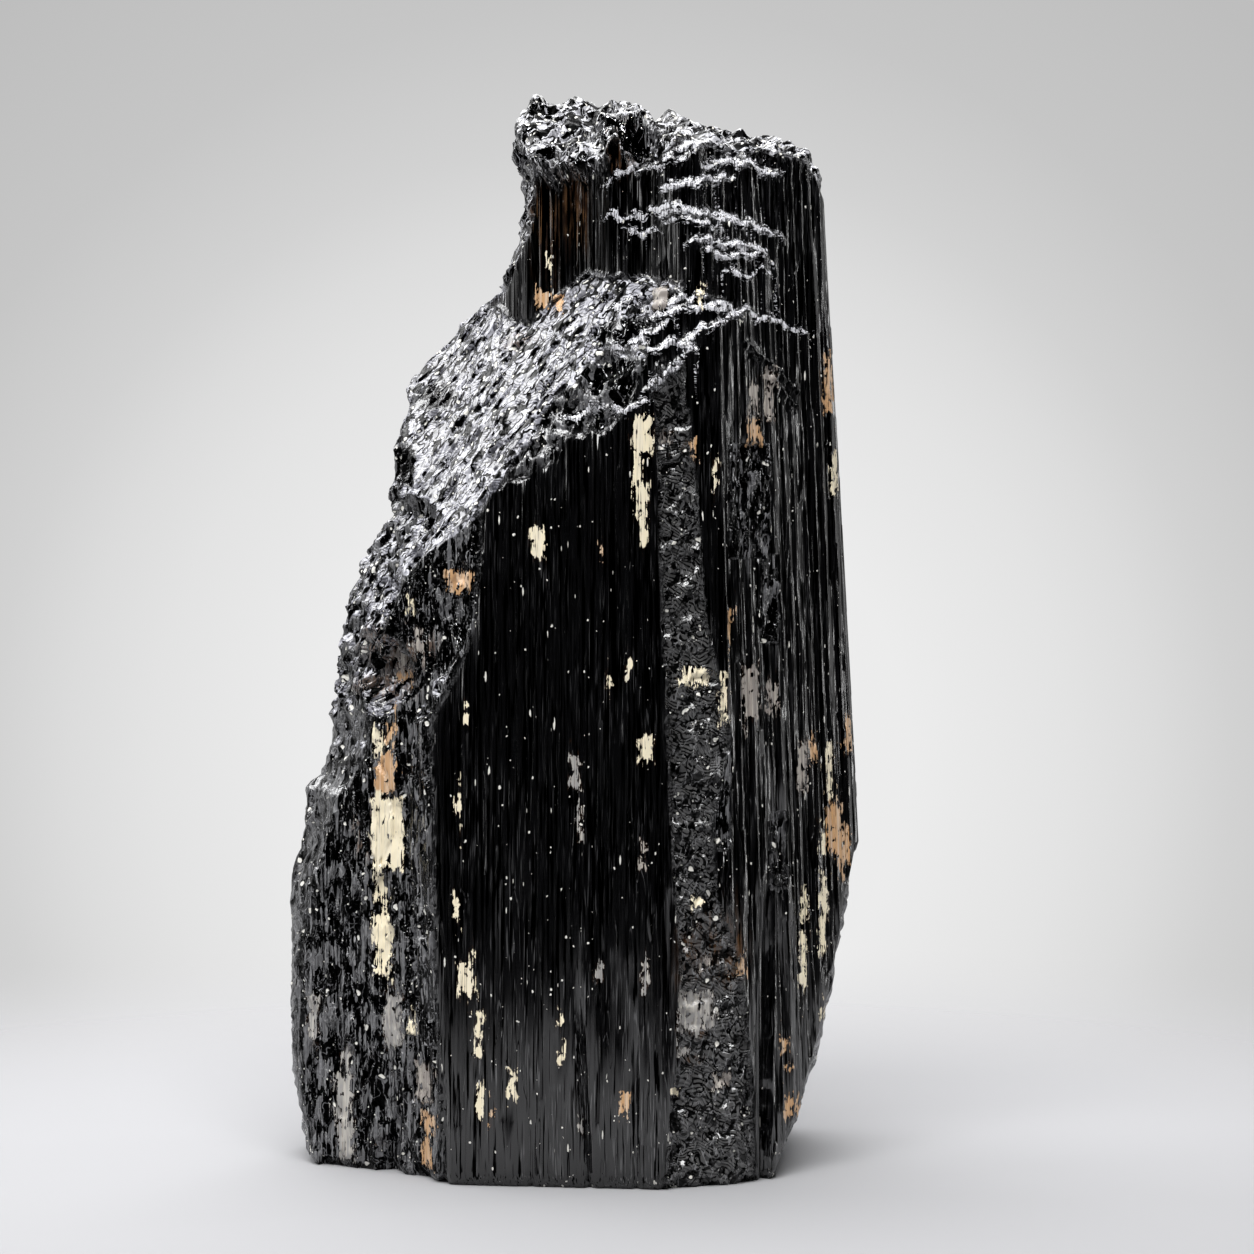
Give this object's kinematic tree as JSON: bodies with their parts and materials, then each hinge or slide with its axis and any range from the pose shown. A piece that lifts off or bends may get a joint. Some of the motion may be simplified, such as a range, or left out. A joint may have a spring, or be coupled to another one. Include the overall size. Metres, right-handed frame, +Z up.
{
  "type": "black tourmaline crystal",
  "caption": "Thick black tourmaline crystal standing on end, with upright striations, an oblique break across its upper left and a broken top.",
  "frame": {"origin": "centre of the bounding box in plan, at the level of the flat base", "axes": "+Z up along the striations, the longest extent; the broad front face looks towards -Y; +X to the right of that face"},
  "size_m": [0.1078, 0.074, 0.2],
  "materials": {
    "tourmaline": "glossy black, finely striated along its length, with cream and tan flecks of mica and feldspar"
  },
  "bodies": {
    "root": {"tourmaline_crystal": "tourmaline"}
  },
  "joints": []
}
